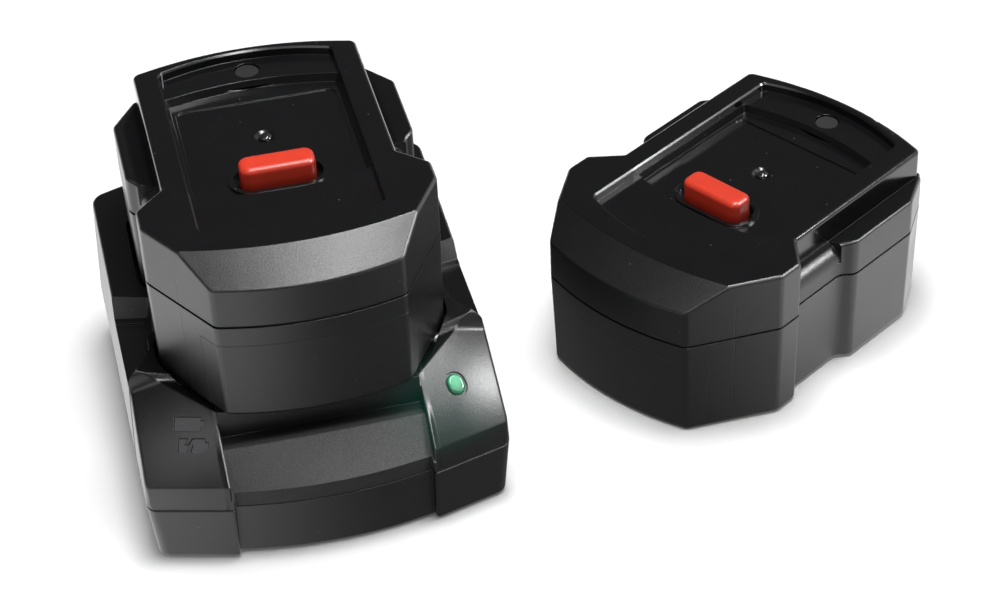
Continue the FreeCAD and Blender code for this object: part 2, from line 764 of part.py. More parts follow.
def is_cheek_edge(c, b):
    """edges between the sloped facets and the inner cheeks of the notch"""
    return abs(abs(c.x) - NOTCH_HALF) < 0.1 and b.YLength > 5 and b.ZMax < 48.5 and c.z > BUMPER_TOP + 0.05


def dock_cover_outside():
    """outer form of the charger's upper shell"""
    body = taper(dock_seam_outline(), DOCK_SEAM, dock_top_outline(), REAR_TOP + 4)
    body = body.cut(facet_cutters(0.0))
    body = body.cut(both_sides(band_cutter()))
    body = body.cut(notch_cutter(0.0))
    body = body.makeFillet(DOCK_R, edges_where(body, is_dock_edge))
    return body.makeFillet(EDGE_R, edges_where(body, is_cheek_edge))


def seam_groove(outline):
    """thin ring cut round the split line"""
    outer = prism(inset(outline, -2.0), DOCK_SEAM - 0.3, DOCK_SEAM + 0.3)
    return outer.cut(prism(inset(outline, GROOVE), DOCK_SEAM - 1, DOCK_SEAM + 1))


def dock_cover():
    """upper shell of the charger"""
    body = dock_cover_outside().cut(dip_cutter())
    body = body.cut(prism(well_outline(0.6), SEAT_Z, 90))
    body = body.cut(seam_groove(dock_seam_outline()))
    hollow = prism(inset(dock_top_outline(), DOCK_WALL + 0.6), DOCK_SEAM - 1, SEAT_Z - 3.0)
    hollow = hollow.cut(facet_cutters(3.6)).cut(notch_cutter(DOCK_WALL))
    body = body.cut(hollow)
    body = body.cut(round_block(BLOCK_L + 0.6, BLOCK_W + 0.6, 1.0, 0, CONTACT_Y, SEAT_Z - 10, SEAT_Z + 1))
    body = body.cut(lens_hole()).cut(icon_pockets())
    for post in lamp_posts():
        body = body.fuse(post)
    for x, y in mirrored(DOCK_SCREW_AT):
        body = body.fuse(rod(4.0, x, y, DOCK_SEAM + 0.3, SEAT_Z - 2))
    for x, y in mirrored(DOCK_SCREW_AT):
        body = body.cut(rod(1.5, x, y, DOCK_SEAM - 1, DOCK_SEAM + 14))
    return body


def on_facet(shape, x, y, side):
    """puts a shape drawn flat round the origin onto a block's facet"""
    along = V(1.0, FRONT_SLANT, 0.0).normalize()
    up = V(0.0, 1.0, FACET_SLOPE).normalize()
    normal = along.cross(up).normalize()
    up = normal.cross(along)
    place = FreeCAD.Placement(FreeCAD.Matrix(
        along.x, up.x, normal.x, x,
        along.y, up.y, normal.y, y,
        along.z, up.z, normal.z, facet_height(x, y),
        0.0, 0.0, 0.0, 1.0))
    placed = shape.copy()
    placed.Placement = place
    if side < 0:
        return placed.mirror(V(0, 0, 0), V(1, 0, 0))
    return placed


def lens_shape(gap, z0, z1):
    """oblong outline of the light, standing on the facet"""
    tall = oval(LENS_L + 2 * gap, LENS_W + 2 * gap, 0, 0, z0, z1)
    tall.rotate(V(0, 0, 0), V(0, 0, 1), 90)
    return tall


def lens_hole():
    """opening for the light with a shallow ring round it"""
    hole = lens_shape(0.1, -12, 5).fuse(lens_shape(0.9, -0.5, 5))
    return on_facet(hole, LENS_X, LENS_Y, 1)


def light_lens():
    """green light lens with a rounded top"""
    body = lens_shape(0.0, -8.0, 0.9)
    body = body.makeFillet(1.1, edges_where(body, lambda c, b: b.ZMin > 0.8))
    return on_facet(body, LENS_X, LENS_Y, 1)


def battery_shape(gap, z0, z1, split):
    """outline of a battery with its pole, whole or split by a bolt-shaped gap"""
    half_l = 4.6 + gap
    half_w = 2.5 + gap
    pole = 1.2 + gap
    body = block(-half_l, half_l, -half_w, half_w, z0, z1)
    body = body.fuse(block(-half_l - 1.2, -half_l + 0.1, -pole, pole, z0, z1))
    if split:
        width = 0.7 - gap
        zig = [(-0.4, 4.0), (1.8, 0.4), (0.2, 0.4), (1.4, -4.0)]
        right = [(x + width, y) for x, y in zig]
        left = [(x - width, y) for x, y in reversed(zig)]
        wire = Part.makePolygon([V(x, y, z0 - 1) for x, y in right + left + right[:1]])
        body = body.cut(Part.Face(wire).extrude(V(0, 0, z1 - z0 + 2)))
    return body.removeSplitter()


def icon_set(gap, z0, z1):
    """both battery signs placed on the left block"""
    return [on_facet(battery_shape(gap, z0, z1, i == 1), ICON_X, y, -1) for i, y in enumerate(ICON_Y)]


def icon_pockets():
    """recesses for the status windows"""
    whole, split = icon_set(0.0, -1.4, 3.0)
    return whole.fuse(split)


def status_windows():
    """dark windows lying at the bottom of their recesses"""
    return Part.makeCompound(icon_set(-0.08, -1.4, -0.6))


def dock_base():
    """lower shell of the charger"""
    foot = dock_foot_outline()
    seam = dock_seam_outline()
    body = taper(foot, DOCK_BOTTOM, seam, DOCK_SEAM)
    body = body.makeFillet(EDGE_R, edges_where(body, lambda c, b: b.ZMax < DOCK_BOTTOM + 0.01))
    body = body.cut(seam_groove(seam))
    floor = DOCK_BOTTOM + DOCK_WALL
    body = body.cut(taper(inset(foot, DOCK_WALL), floor, inset(seam, DOCK_WALL), DOCK_SEAM + 0.01))
    for x, y in mirrored(DOCK_SCREW_AT):
        body = body.fuse(rod(4.0, x, y, DOCK_BOTTOM + 0.5, DOCK_SEAM))
    for x, y in mirrored(POST_AT):
        body = body.fuse(rod(3.0, x, y, floor - 0.5, BOARD_Z))
    for x, y in mirrored(DOCK_SCREW_AT):
        body = body.cut(rod(1.9, x, y, 0, DOCK_SEAM + 1))
        body = body.cut(rod(3.2, x, y, 0, DOCK_BOTTOM + 3.4))
    for x, y in mirrored(POST_AT):
        body = body.cut(rod(1.2, x, y, floor, BOARD_Z + 1))
    for x, y in mirrored(FOOT_AT):
        body = body.cut(rod(FOOT_R + 0.1, x, y, 0, FOOT_H))
    for i in range(6):
        body = body.cut(oval(34.0, 3.0, 0, 34.0 + i * 9.0, 0, floor + 1))
    half_w = INLET_W / 2 + SEAT_GAP
    half_h = INLET_H / 2 + SEAT_GAP
    low = INLET_Z - half_h
    high = INLET_Z + half_h
    return body.cut(block(-half_w, half_w, INLET_BACK - 10, INLET_BACK + 20, low, high))


def dock_feet():
    """four rubber feet"""
    feet = []
    for x, y in mirrored(FOOT_AT):
        foot = rod(FOOT_R, x, y, 0, FOOT_H)
        feet.append(foot.makeChamfer(0.4, edges_where(foot, lambda c, b: b.ZMax < 0.01)))
    return Part.makeCompound(feet)


def dock_screws():
    """screws that join the charger shells"""
    screws = []
    top = DOCK_BOTTOM + 3.4
    for x, y in mirrored(DOCK_SCREW_AT):
        head = rod(2.9, x, y, top - 2.4, top)
        head = head.cut(block(x - 0.5, x + 0.5, y - 2, y + 2, 0, top - 1.2))
        head = head.cut(block(x - 2, x + 2, y - 0.5, y + 0.5, 0, top - 1.2))
        screws.append(head.fuse(rod(1.45, x, y, top - 0.1, DOCK_SEAM + 12)).removeSplitter())
    return Part.makeCompound(screws)


def main_board():
    """power board with small parts and its four screws' holes"""
    board = round_block(BOARD_L, BOARD_D, 2.0, 0, BOARD_Y, BOARD_Z, BOARD_Z + BOARD_T)
    top = BOARD_Z + BOARD_T
    for x, y in mirrored(POST_AT):
        board = board.cut(rod(1.6, x, y, 0, 20))
    for x, y, dx, dy, h in ((-30, 84, 8, 8, 2.4), (-14, 84, 6, 10, 2.0), (32, 34, 7, 5, 1.8), (-4, 24, 14, 9, 9.0)):
        board = board.fuse(block(x - dx / 2, x + dx / 2, y - dy / 2, y + dy / 2, top, top + h))
    for i in range(5):
        board = board.fuse(block(-34 + i * 6.0, -31 + i * 6.0, 96, 97.6, top, top + 0.8))
    return board.removeSplitter()


def board_screws():
    """screws that hold the power board"""
    top = BOARD_Z + BOARD_T
    screws = []
    for x, y in mirrored(POST_AT):
        head = rod(2.6, x, y, top, top + 1.8).cut(block(x - 0.4, x + 0.4, y - 2, y + 2, top + 0.9, top + 3))
        screws.append(head.fuse(rod(1.15, x, y, BOARD_Z - 3.6, top + 0.1)).removeSplitter())
    return Part.makeCompound(screws)


def transformer():
    """laminated core round a wound bobbin"""
    z = BOARD_Z + BOARD_T
    core = block(-38, 0, 36, 70, z, z + 28)
    window = block(-38 + 6, -6, 30, 76, z + 6, z + 22)
    core = core.cut(window)
    return core.fuse(block(-24, -14, 36, 70, z + 5, z + 23)).removeSplitter()


def transformer_winding():
    """copper winding on the middle limb"""
    z = BOARD_Z + BOARD_T
    outer = round_block(25.0, 45.0, 6.0, -19, 53, z + 6.4, z + 21.6)
    return outer.cut(block(-24.3, -13.7, 35.7, 70.3, z, z + 30))


def heatsink():
    """finned heat sink"""
    z = BOARD_Z + BOARD_T
    sink = block(10, 40, 42, 74, z, z + 4)
    for i in range(7):
        x = 10 + i * 4.7
        sink = sink.fuse(block(x, x + 1.8, 42, 74, z + 3, z + 26))
    return sink.removeSplitter()


def capacitors():
    """upright capacitors"""
    z = BOARD_Z + BOARD_T
    cans = []
    for x, y, r, h in ((20.0, 88.0, 6.5, 24.0), (36.0, 86.0, 6.5, 24.0), (2.0, 88.0, 5.0, 18.0)):
        can = rod(r, x, y, z, z + h)
        cans.append(can.makeFillet(0.8, edges_where(can, lambda c, b: b.ZMin > z + h - 0.1)))
    return Part.makeCompound(cans)


def contact_tower():
    """insulating block that carries the charging blades"""
    y = CONTACT_Y
    body = round_block(BLOCK_L, BLOCK_W, 0.7, 0, y, SEAT_Z - 10, SEAT_Z)
    body = body.fuse(block(-24, 24, y - 8, y + 8, SEAT_Z - 6, SEAT_Z - 3.3))
    for x in contact_places():
        body = body.cut(block(x - BLADE_T / 2, x + BLADE_T / 2, y - BLADE_W / 2, y + BLADE_W / 2, 0, 90))
    return body.removeSplitter()


def contact_blades():
    """upright charging blades"""
    y = CONTACT_Y
    blades = []
    for x in contact_places():
        blade = Part.makeBox(BLADE_T, BLADE_W, BLADE_UP + 16, V(x - BLADE_T / 2, y - BLADE_W / 2, SEAT_Z - 16))
        top = edges_where(blade, lambda c, b: b.ZMin > SEAT_Z + BLADE_UP - 0.1 and b.YLength > 1)
        blades.append(blade.makeChamfer(0.25, top))
    return Part.makeCompound(blades)


def contact_harness():
    """carrier board that joins the blades to the power board's plug"""
    y = CONTACT_Y
    z = SEAT_Z - 17.6
    board = round_block(46.0, 15.0, 1.0, 0, y, z, z + 1.6)
    for side in (-1, 1):
        board = board.fuse(rod(1.8, side * 18.0, y + 3.2, z + 1.5, SEAT_Z - 10))
    return board.cut(block(-19, 19, y - 9, y - 5.4, z - 1, z + 3)).removeSplitter()


def power_inlet():
    """two-pole appliance inlet in the rear wall"""
    half_w = INLET_W / 2
    half_h = INLET_H / 2
    body = block(-half_w, half_w, INLET_BACK - 17, INLET_BACK, INLET_Z - half_h, INLET_Z + half_h)
    low = INLET_Z - half_h
    high = INLET_Z + half_h
    body = body.fuse(block(-half_w - 2.5, half_w + 2.5, INLET_BACK - 5.4, INLET_BACK - 3.9, low, high))
    for side in (-1, 1):
        start = V(side * PIN_PITCH / 2, INLET_BACK - INLET_DEEP, INLET_Z)
        body = body.cut(Part.makeCylinder(4.1, 15, start, V(0, 1, 0)))
    neck = 2.8
    floor = INLET_BACK - INLET_DEEP
    body = body.cut(block(-neck, neck, floor, INLET_BACK + 1, INLET_Z - neck, INLET_Z + neck))
    for side in (-1, 1):
        shank = Part.makeCylinder(PIN_R, 9, V(side * PIN_PITCH / 2, INLET_BACK - 20, INLET_Z), V(0, 1, 0))
        body = body.cut(shank)
    return body.removeSplitter()


def inlet_pins():
    """two contact pins of the inlet"""
    pins = []
    for side in (-1, 1):
        pin = Part.makeCylinder(PIN_R, 17, V(side * PIN_PITCH / 2, INLET_BACK - 19, INLET_Z), V(0, 1, 0))
        pins.append(pin.makeFillet(0.6, edges_where(pin, lambda c, b: b.YMin > INLET_BACK - 2.1)))
    return Part.makeCompound(pins)


def light_boards():
    """small lamp boards behind the lens and the status windows"""
    boards = []
    for x, y, side in ((LENS_X, LENS_Y, 1), (ICON_X, sum(ICON_Y) / 2, -1)):
        board = block(-7.5, 7.5, -5.5, 5.5, -11.2, -10.0)
        board = board.fuse(rod(1.5, 0, 0, -10.2, -8.6))
        boards.append(on_facet(board.removeSplitter(), x, y, side))
    return Part.makeCompound(boards)


def lamp_posts():
    """posts inside the cover that hold the lamp boards"""
    posts = []
    for x, y, side in ((LENS_X, LENS_Y, 1), (ICON_X, sum(ICON_Y) / 2, -1)):
        for shift in (-5.8, 5.8):
            posts.append(on_facet(rod(1.4, shift, 0, -10.0, -2.0), x, y, side))
    return posts


def dock_parts():
    """every piece of the charger by name"""
    return {
        "dock_cover": dock_cover(),
        "dock_base": dock_base(),
        "dock_feet": dock_feet(),
        "dock_screws": dock_screws(),
        "power_board": main_board(),
        "board_screws": board_screws(),
        "transformer_core": transformer(),
        "transformer_winding": transformer_winding(),
        "heatsink": heatsink(),
        "capacitors": capacitors(),
        "contact_tower": contact_tower(),
        "contact_blades": contact_blades(),
        "contact_carrier": contact_harness(),
        "power_inlet": power_inlet(),
        "inlet_pins": inlet_pins(),
        "light_lens": light_lens(),
        "light_boards": light_boards(),
        "status_windows": status_windows(),
    }


def placed_set():
    """charger, seated pack and spare pack at their places"""
    pieces = dock_parts()
    for name, shape in pack_parts().items():
        seated = shape.copy()
        seated.translate(V(0, 0, SEAT_Z))
        pieces["docked_" + name] = seated
        spare = shape.copy()
        spare.translate(V(0, -TURN_Y, 0))
        spare.rotate(V(0, 0, 0), V(0, 0, 1), SPARE_TURN)
        spare.translate(V(SPARE_X, SPARE_Y, 0))
        pieces["spare_" + name] = spare
    return pieces


def main():
    """builds the set, centres it and writes one file for each piece"""
    os.makedirs("parts", exist_ok=True)
    pieces = placed_set()
    box = Part.makeCompound([pieces[n] for n in OUTER_DOCK + OUTER_PACKS]).optimalBoundingBox(False, False)
    shift = V(-(box.XMin + box.XMax) / 2, -(box.YMin + box.YMax) / 2, -box.ZMin)
    for name, shape in sorted(pieces.items()):
        shape.translate(shift)
        shape.exportStep("parts/" + name + ".step")
    print("centre", round(-shift.x, 3), round(-shift.y, 3), "size", box.XLength, box.YLength, box.ZLength)


main()
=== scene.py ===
import math

import bpy
import numpy as np
from bpy.props import FloatProperty, FloatVectorProperty, PointerProperty
from mathutils import Matrix, Vector


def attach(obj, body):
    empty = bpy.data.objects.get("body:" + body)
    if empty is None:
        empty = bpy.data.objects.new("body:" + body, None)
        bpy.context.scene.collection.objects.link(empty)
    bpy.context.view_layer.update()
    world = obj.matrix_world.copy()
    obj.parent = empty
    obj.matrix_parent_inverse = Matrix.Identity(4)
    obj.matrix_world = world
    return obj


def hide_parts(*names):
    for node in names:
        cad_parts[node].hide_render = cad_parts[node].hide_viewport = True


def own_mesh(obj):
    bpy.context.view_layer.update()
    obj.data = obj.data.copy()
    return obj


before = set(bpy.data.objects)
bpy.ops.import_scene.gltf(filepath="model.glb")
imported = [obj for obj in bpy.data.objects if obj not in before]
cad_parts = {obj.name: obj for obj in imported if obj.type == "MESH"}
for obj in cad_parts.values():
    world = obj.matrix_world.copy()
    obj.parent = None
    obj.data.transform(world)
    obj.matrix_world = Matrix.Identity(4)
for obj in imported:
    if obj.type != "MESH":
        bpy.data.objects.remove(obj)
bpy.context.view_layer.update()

MM = 0.001
PER_MICROMETRE = 1e6
PACKS = ("docked", "spare")
BLACK = (0.0, 0.0, 0.0, 1.0)
WHITE = (1.0, 1.0, 1.0, 1.0)

bl_info = {
    "name": "Battery charging set",
    "version": (1, 0, 0),
    "blender": (4, 5, 0),
    "location": "View3D > Sidebar > Charging set",
    "description": "Finishes and lights a charging dock, its seated battery pack and a spare pack",
    "category": "Object",
}

# Where each pack stands: the turn about Z in degrees and the shift in mm that take the row frame to
# the pack's own frame, whose X is 0 in the pack's middle, Y runs back from its front and Z up from its foot
DOCK_SHIFT = (88.402, 59.684, 0.0)
SEAT = 50.0
SPARE_TURN = 57.3
SPARE_PIVOT = (-39.898, 17.784, 17.4)


def spare_shift():
    """Turns the pivot's offset with the pack and adds the pack's own offset along its length."""
    a = math.radians(SPARE_TURN)
    x, y, along = SPARE_PIVOT
    return math.cos(a) * x - math.sin(a) * y, math.sin(a) * x + math.cos(a) * y + along, 0.0


PLACES = {
    "dock": (0.0, DOCK_SHIFT),
    "docked": (0.0, (DOCK_SHIFT[0], DOCK_SHIFT[1], -SEAT)),
    "spare": (SPARE_TURN, spare_shift()),
}


# Shader arithmetic


class Value:
    """A number socket that takes part in arithmetic: each sign adds one Math node."""

    def __init__(self, finish, socket):
        self.finish = finish
        self.socket = socket

    def __add__(self, other):
        return self.finish.number("ADD", self, other)

    __radd__ = __add__

    def __sub__(self, other):
        return self.finish.number("SUBTRACT", self, other)

    def __rsub__(self, other):
        return self.finish.number("SUBTRACT", other, self)

    def __mul__(self, other):
        return self.finish.number("MULTIPLY", self, other)

    __rmul__ = __mul__

    def __truediv__(self, other):
        return self.finish.number("DIVIDE", self, other)

    def __rtruediv__(self, other):
        return self.finish.number("DIVIDE", other, self)

    def __pow__(self, other):
        return self.finish.number("POWER", self, other)

    def __neg__(self):
        return self * -1.0

    def __abs__(self):
        return self.finish.number("ABSOLUTE", self)


class Finish:
    """A material in the making: one method adds any node, the others are short words for common ones."""

    def __init__(self, name, constants):
        self.material = bpy.data.materials.new(name)
        self.material.use_nodes = True
        self.tree = self.material.node_tree
        self.surface = self.tree.nodes["Principled BSDF"]
        for socket, value in constants.items():
            self.surface.inputs[socket].default_value = value

    def node(self, kind, settings, inputs, output=0):
        """Adds a node: settings first, then a value or a link for each socket."""
        made = self.tree.nodes.new(kind)
        for name, value in settings.items():
            setattr(made, name, value)
        for socket, value in inputs.items():
            if isinstance(value, Value):
                self.tree.links.new(value.socket, made.inputs[socket])
            else:
                made.inputs[socket].default_value = value
        return Value(self, made.outputs[output])

    @classmethod
    def of_tree(cls, tree):
        """The same words for a node tree that is no material's, emptied first."""
        words = cls.__new__(cls)
        words.tree = tree
        tree.nodes.clear()
        return words

    def number(self, operation, *values):
        return self.node("ShaderNodeMath", {"operation": operation}, dict(enumerate(values)))

    def vector(self, operation, *values):
        return self.node("ShaderNodeVectorMath", {"operation": operation}, dict(enumerate(values)))

    def vector_number(self, operation, *values):
        """A number that Vector Math works out, such as a length or a dot product."""
        return self.node("ShaderNodeVectorMath", {"operation": operation}, dict(enumerate(values)), 1)

    def background(self, colour, strength):
        return self.node("ShaderNodeBackground", {}, {0: colour, 1: strength})

    def blend(self, factor, low, high):
        """Mixes two shaders by a factor."""
        return self.node("ShaderNodeMixShader", {}, {0: factor, 1: low, 2: high})

    def colour(self, factor, low, high):
        """Blends two colours by a factor."""
        return self.node("ShaderNodeMix", {"data_type": "RGBA"}, {0: factor, 6: low, 7: high}, 2)

    def step(self, value, start, end):
        """Rises smoothly from 0 at start to 1 at end."""
        return self.node(
            "ShaderNodeMapRange",
            {"interpolation_type": "SMOOTHSTEP"},
            {"Value": value, "From Min": start, "From Max": end},
        )

    def within(self, value, low, high, soft=0.3):
        """1 between two limits and 0 outside, with soft ends."""
        return self.step(value, low - soft, low) * self.step(-value, -high - soft, -high)

    def line(self, value, at, half_width):
        """1 on the level line where the value equals at, falling to 0 at half_width from it."""
        return self.step(-abs(value - at), -half_width, -half_width * 0.3)

    def place(self, where):
        """The point in millimetres in the frame of the dock or of a pack."""
        turn, shift = PLACES[where]
        return self.node(
            "ShaderNodeMapping",
            {"vector_type": "POINT"},
            {
                "Vector": self.object_point(),
                "Location": shift,
                "Rotation": (0, 0, math.radians(turn)),
                "Scale": (1 / MM,) * 3,
            },
        )

    def object_point(self):
        """The point in metres in the row frame, at rest."""
        return self.node("ShaderNodeTexCoord", {}, {}, 3)

    def split(self, vector):
        """X, Y and Z of a vector."""
        made = self.tree.nodes.new("ShaderNodeSeparateXYZ")
        self.tree.links.new(vector.socket, made.inputs[0])
        return [Value(self, out) for out in made.outputs]

    def facing_up(self):
        """Z of the surface's own normal."""
        return self.split(self.node("ShaderNodeTexCoord", {}, {}, 1))[2]

    def noise(self, point, scale, detail=2.0, roughness=0.5):
        return self.node(
            "ShaderNodeTexNoise",
            {},
            {"Vector": point, "Scale": scale, "Detail": detail, "Roughness": roughness},
        )

    def cells(self, point, scale):
        """Distance to the nearest of scattered points."""
        return self.node("ShaderNodeTexVoronoi", {}, {"Vector": point, "Scale": scale})

    def light_path(self, kind):
        """1 for rays of a kind, such as Is Camera Ray, and 0 for all others."""
        return Value(self, self.tree.nodes.new("ShaderNodeLightPath").outputs[kind])

    def bump(self, height, distance, edge=None):
        """Normal of a height field, on top of rounded edges if asked."""
        inputs = {"Height": height, "Distance": distance}
        if edge:
            inputs["Normal"] = edge
        return self.node("ShaderNodeBump", {}, inputs)

    def soft_edge(self, radius):
        """Normal that rounds sharp edges by a small radius."""
        return self.node("ShaderNodeBevel", {"samples": 6}, {"Radius": radius})

    def feed(self, **links):
        """Links varying values to the surface shader's sockets."""
        for socket, value in links.items():
            self.tree.links.new(value.socket, self.surface.inputs[socket.replace("_", " ")])
        return self.material


def paint(obj, material):
    """Gives the whole object one material."""
    obj.data.materials.clear()
    obj.data.materials.append(material)


def rgba(colour, share=1.0):
    """A colour property as four numbers, darker or lighter by a share."""
    return (*[min(1.0, c * share) for c in colour], 1.0)


# Meshes


def new_piece(name, points, faces, body, stands_for=()):
    """Makes an object in the row frame from arrays of points and faces and lets it ride on its body."""
    mesh = bpy.data.meshes.new(name)
    mesh.from_pydata(points, [], faces)
    mesh.validate()
    mesh.shade_smooth()
    piece = bpy.data.objects.new(name, mesh)
    bpy.context.scene.collection.objects.link(piece)
    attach(piece, body)
    if stands_for:
        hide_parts(*stands_for)
    return piece


def welded(node, name, body, sharp=32.0):
    """A copy of a node with its loose triangles joined: points that round to the same micrometre become one.

    Edges that turn by more than the sharp angle, in degrees, stay sharp. Normals are weighted by face
    area, so flats stay flat and roundings run smoothly into them.
    """
    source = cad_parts[node].data
    points = np.empty(len(source.vertices) * 3, np.float32)
    source.vertices.foreach_get("co", points)
    corners = np.empty(len(source.loops), np.int32)
    source.loops.foreach_get("vertex_index", corners)
    keys = np.round(points.reshape(-1, 3) * PER_MICROMETRE).astype(np.int64)
    _, first, back = np.unique(keys, axis=0, return_index=True, return_inverse=True)
    triangles = back.reshape(-1)[corners].reshape(-1, 3)
    a, b, c = triangles.T
    whole = triangles[(a != b) & (b != c) & (c != a)]
    piece = new_piece(name, points.reshape(-1, 3)[first], whole, body, (node,))
    piece.data.set_sharp_from_angle(angle=math.radians(sharp))
    weighted = piece.modifiers.new("flat faces stay flat", "WEIGHTED_NORMAL")
    weighted.keep_sharp = True
    weighted.weight = 90
    return piece


# Finishes

# Places on a pack, in mm in its own frame
RAIL_SIDE = 41.6  # just outside the tool rail's walls
RAIL_REAR = 44.0  # behind this the rail's walls and ledges are polished
POLISH_FOOT = 49.0  # the upper shell's polish starts above this height
SLOPE_FOOT = 53.0  # foot of the front slope
CHAMFER_START = 32.5  # X of the front corner, where a chamfer starts
CHAMFER_WAY = (0.5137, 0.858)  # its direction from there, seen from above
CHAMFER_END = 31.0  # Y of its rear end
CHAMFER_MIDDLE = 18.6  # the upright parting line's distance along it
DOOR_EDGE = 9.4  # the door line's distance along it
DOOR_TOP = 31.4  # height of the door line
LINE_WIDTH = 0.2  # half width of a parting line

# Places on the dock, in mm in its own frame
FACET_MIDDLE = (2.0, 46.0)  # Y and Z of the middle of the two front facets
FACET_SLOPE = (0.8, 0.6)  # the way up the slope, along Y and Z
FACET_INNER = 36.0  # X where a facet starts beside the notch
FACET_OUTER = 46.0  # X from which a facet also falls outwards
NOTCH_SIDE = 35.6  # X of the notch's walls
LENS_CENTRE = (47.9, 4.6)  # X and Y of the charge light's lens
# The lens's green light is painted on the dock's upper shell as a glow round the next point, fading out at
# the distance after it.
PAINTED_GLOW_CENTRE = (43.0, -5.0, 41.0)  # a point just in front of the lens and below it
PAINTED_GLOW_REACH = 29.0  # the green has faded at this distance from that point

# Heights in mm of the darker band on a sleeve: of a capacitor on the dock's board, and of a cell in a pack
CAPACITOR_BAND = (20.0, 26.0)
CELL_BAND = (36.0, 39.0)

GRAIN_DEPTH = 0.035 * MM  # what a height of 1 stands for in a shell's grain, ripple and grooves
ABOVE_ALL = 900.0  # a height in mm that no piece reaches


def shell_finish(name, where, look, gloss_mask, lines, crown=None, painted_glow=None):
    """Black moulded shell: polished where gloss_mask is 1, spark-eroded grain elsewhere, fine parting lines.

    Grain is noise as wide as one grain, with three finer octaves, and coarser where gloss_mask is
    below 0. The polished part has a slow ripple, as moulded gloss has. Parting lines are grooves where
    a level line of the place is met. Scattered cells hold a few specks of dust. A crown is a height in
    mm that arches the surface. The last argument gives the share of the lens's green light that is
    painted on the surface as an emitted glow.
    """
    f = Finish(name, {"Specular IOR Level": 0.5, "IOR": 1.5, "Emission Strength": 1.0 if painted_glow else 0.0})
    point = f.place(where)
    x, y, z = f.split(point)
    gloss = gloss_mask(f, x, y, z, f.facing_up())
    grain = f.noise(point, 1.0 / look.grain_size, 3.0, 0.65)
    ripple = f.noise(point, 0.06, 3.0)
    groove = lines(f, x, y, z)
    dusty = f.step(f.noise(point, 0.9, 1.0), 0.52, 0.56)
    dust = f.step(-f.cells(point, 0.16), -0.05, -0.035) * dusty
    tone = f.colour(ripple, rgba(look.shell_black, 0.85), rgba(look.shell_black, 1.2))
    tone = f.colour(groove * 0.85, tone, rgba(look.shell_black, 0.25))
    tone = f.colour(dust * 0.25, tone, (0.3, 0.3, 0.3, 1.0))
    satin = look.satin_roughness + (grain - 0.5) * 0.22 + (ripple - 0.5) * 0.06
    polished = look.gloss_roughness + (ripple - 0.5) * 0.06
    rough = satin + gloss * (polished - satin) + dust * 0.3
    height = (grain - 0.5) * (1.0 - gloss) * 1.6 + (ripple - 0.5) * 1.2 - groove * 4.0
    edge = f.soft_edge(look.edge_radius)
    if crown:
        edge = f.bump(crown(f, x, y, z), MM, edge)
    # Painted glow: the lens's green light painted on the shell as emission.
    if painted_glow:
        f.feed(Emission_Color=f.colour(painted_glow(f, x, y, z), BLACK, (0.0, 0.020, 0.013, 1.0)))
    return f.feed(Base_Color=tone, Roughness=rough, Normal=f.bump(height, GRAIN_DEPTH, edge))


def nowhere(f, x, y, z, up=None):
    """0 all over: no polish, or no lines."""
    return f.step(z, ABOVE_ALL, ABOVE_ALL + 1.0)


def pack_cover_gloss(f, x, y, z, up):
    """Polished on the raised frame, in the recess and on the rail's walls; grained on slope and low walls."""
    middle = f.step(-abs(x), -RAIL_SIDE, -RAIL_SIDE + 0.4)
    rails = middle * f.step(y, RAIL_REAR, RAIL_REAR + 3.0) * f.step(z, POLISH_FOOT + 2.0, POLISH_FOOT + 2.8)
    tops = f.step(up, 0.88, 0.96)
    return f.number("MAXIMUM", rails, tops) * f.step(z, POLISH_FOOT, POLISH_FOOT + 2.0)


def chamfer_place(x, y):
    """Distance along the front chamfer, in mm from its front corner."""
    return (abs(x) - CHAMFER_START) * CHAMFER_WAY[0] + y * CHAMFER_WAY[1]


def pack_cover_lines(f, x, y, z):
    """One upright parting line half-way along each front chamfer, up to the foot of the slope."""
    upright = f.line(chamfer_place(x, y), CHAMFER_MIDDLE, LINE_WIDTH + 0.02)
    outside = f.step(abs(x) * CHAMFER_WAY[1] - y * CHAMFER_WAY[0], 27.0, 27.5)
    below = f.step(-z, -SLOPE_FOOT - 0.5, -SLOPE_FOOT)
    return upright * outside * below * f.step(-y, -CHAMFER_END, -CHAMFER_END + 1.0)


def pack_case_lines(f, x, y, z):
    """Parting lines of the lower shell: upright ones on each chamfer, and a door's edge round the front."""
    along = chamfer_place(x, y)
    front = f.step(-y, -29.5, -29.0)
    chamfer = f.step(abs(x), CHAMFER_START + 0.5, CHAMFER_START + 1.0) * front
    full = f.line(along, CHAMFER_MIDDLE, LINE_WIDTH)
    door = f.line(along, DOOR_EDGE, LINE_WIDTH) * f.step(-z, -DOOR_TOP - 0.1, -DOOR_TOP + 0.1)
    across = f.line(z, DOOR_TOP, LINE_WIDTH) * f.step(-along, -DOOR_EDGE - 0.2, -DOOR_EDGE)
    return f.number("MINIMUM", (full + door) * chamfer + across * front * 0.6, 1.0)


def pack_case_gloss(f, x, y, z, up):
    """No polish on the lower shell, a little sheen towards the seam."""
    return f.step(z, 20.0, 39.0) * 0.25


def dock_cover_gloss(f, x, y, z, up):
    """Polished behind the facets and in the well, grained facets and walls, coarse grain on the bumper."""
    tops = f.step(up, 0.94, 0.985)
    bumper = f.step(-abs(x), -NOTCH_SIDE, -NOTCH_SIDE + 0.6) * f.step(-y, -1.0, 2.0)
    return tops * f.step(y, 8.0, 16.0) - bumper * 1.5


def dock_cover_crown(f, x, y, z):
    """Height in mm that arches both front facets: it falls with the square of the way up and outwards."""
    up_slope = (y - FACET_MIDDLE[0]) * FACET_SLOPE[0] + (z - FACET_MIDDLE[1]) * FACET_SLOPE[1]
    outwards = f.number("MAXIMUM", abs(x) - FACET_OUTER, 0.0)
    facet = f.step(abs(x), FACET_INNER, FACET_INNER + 2.0) * f.step(-y, -26.0, -20.0)
    return (up_slope * up_slope * -0.0075 - outwards * outwards * 0.007) * facet


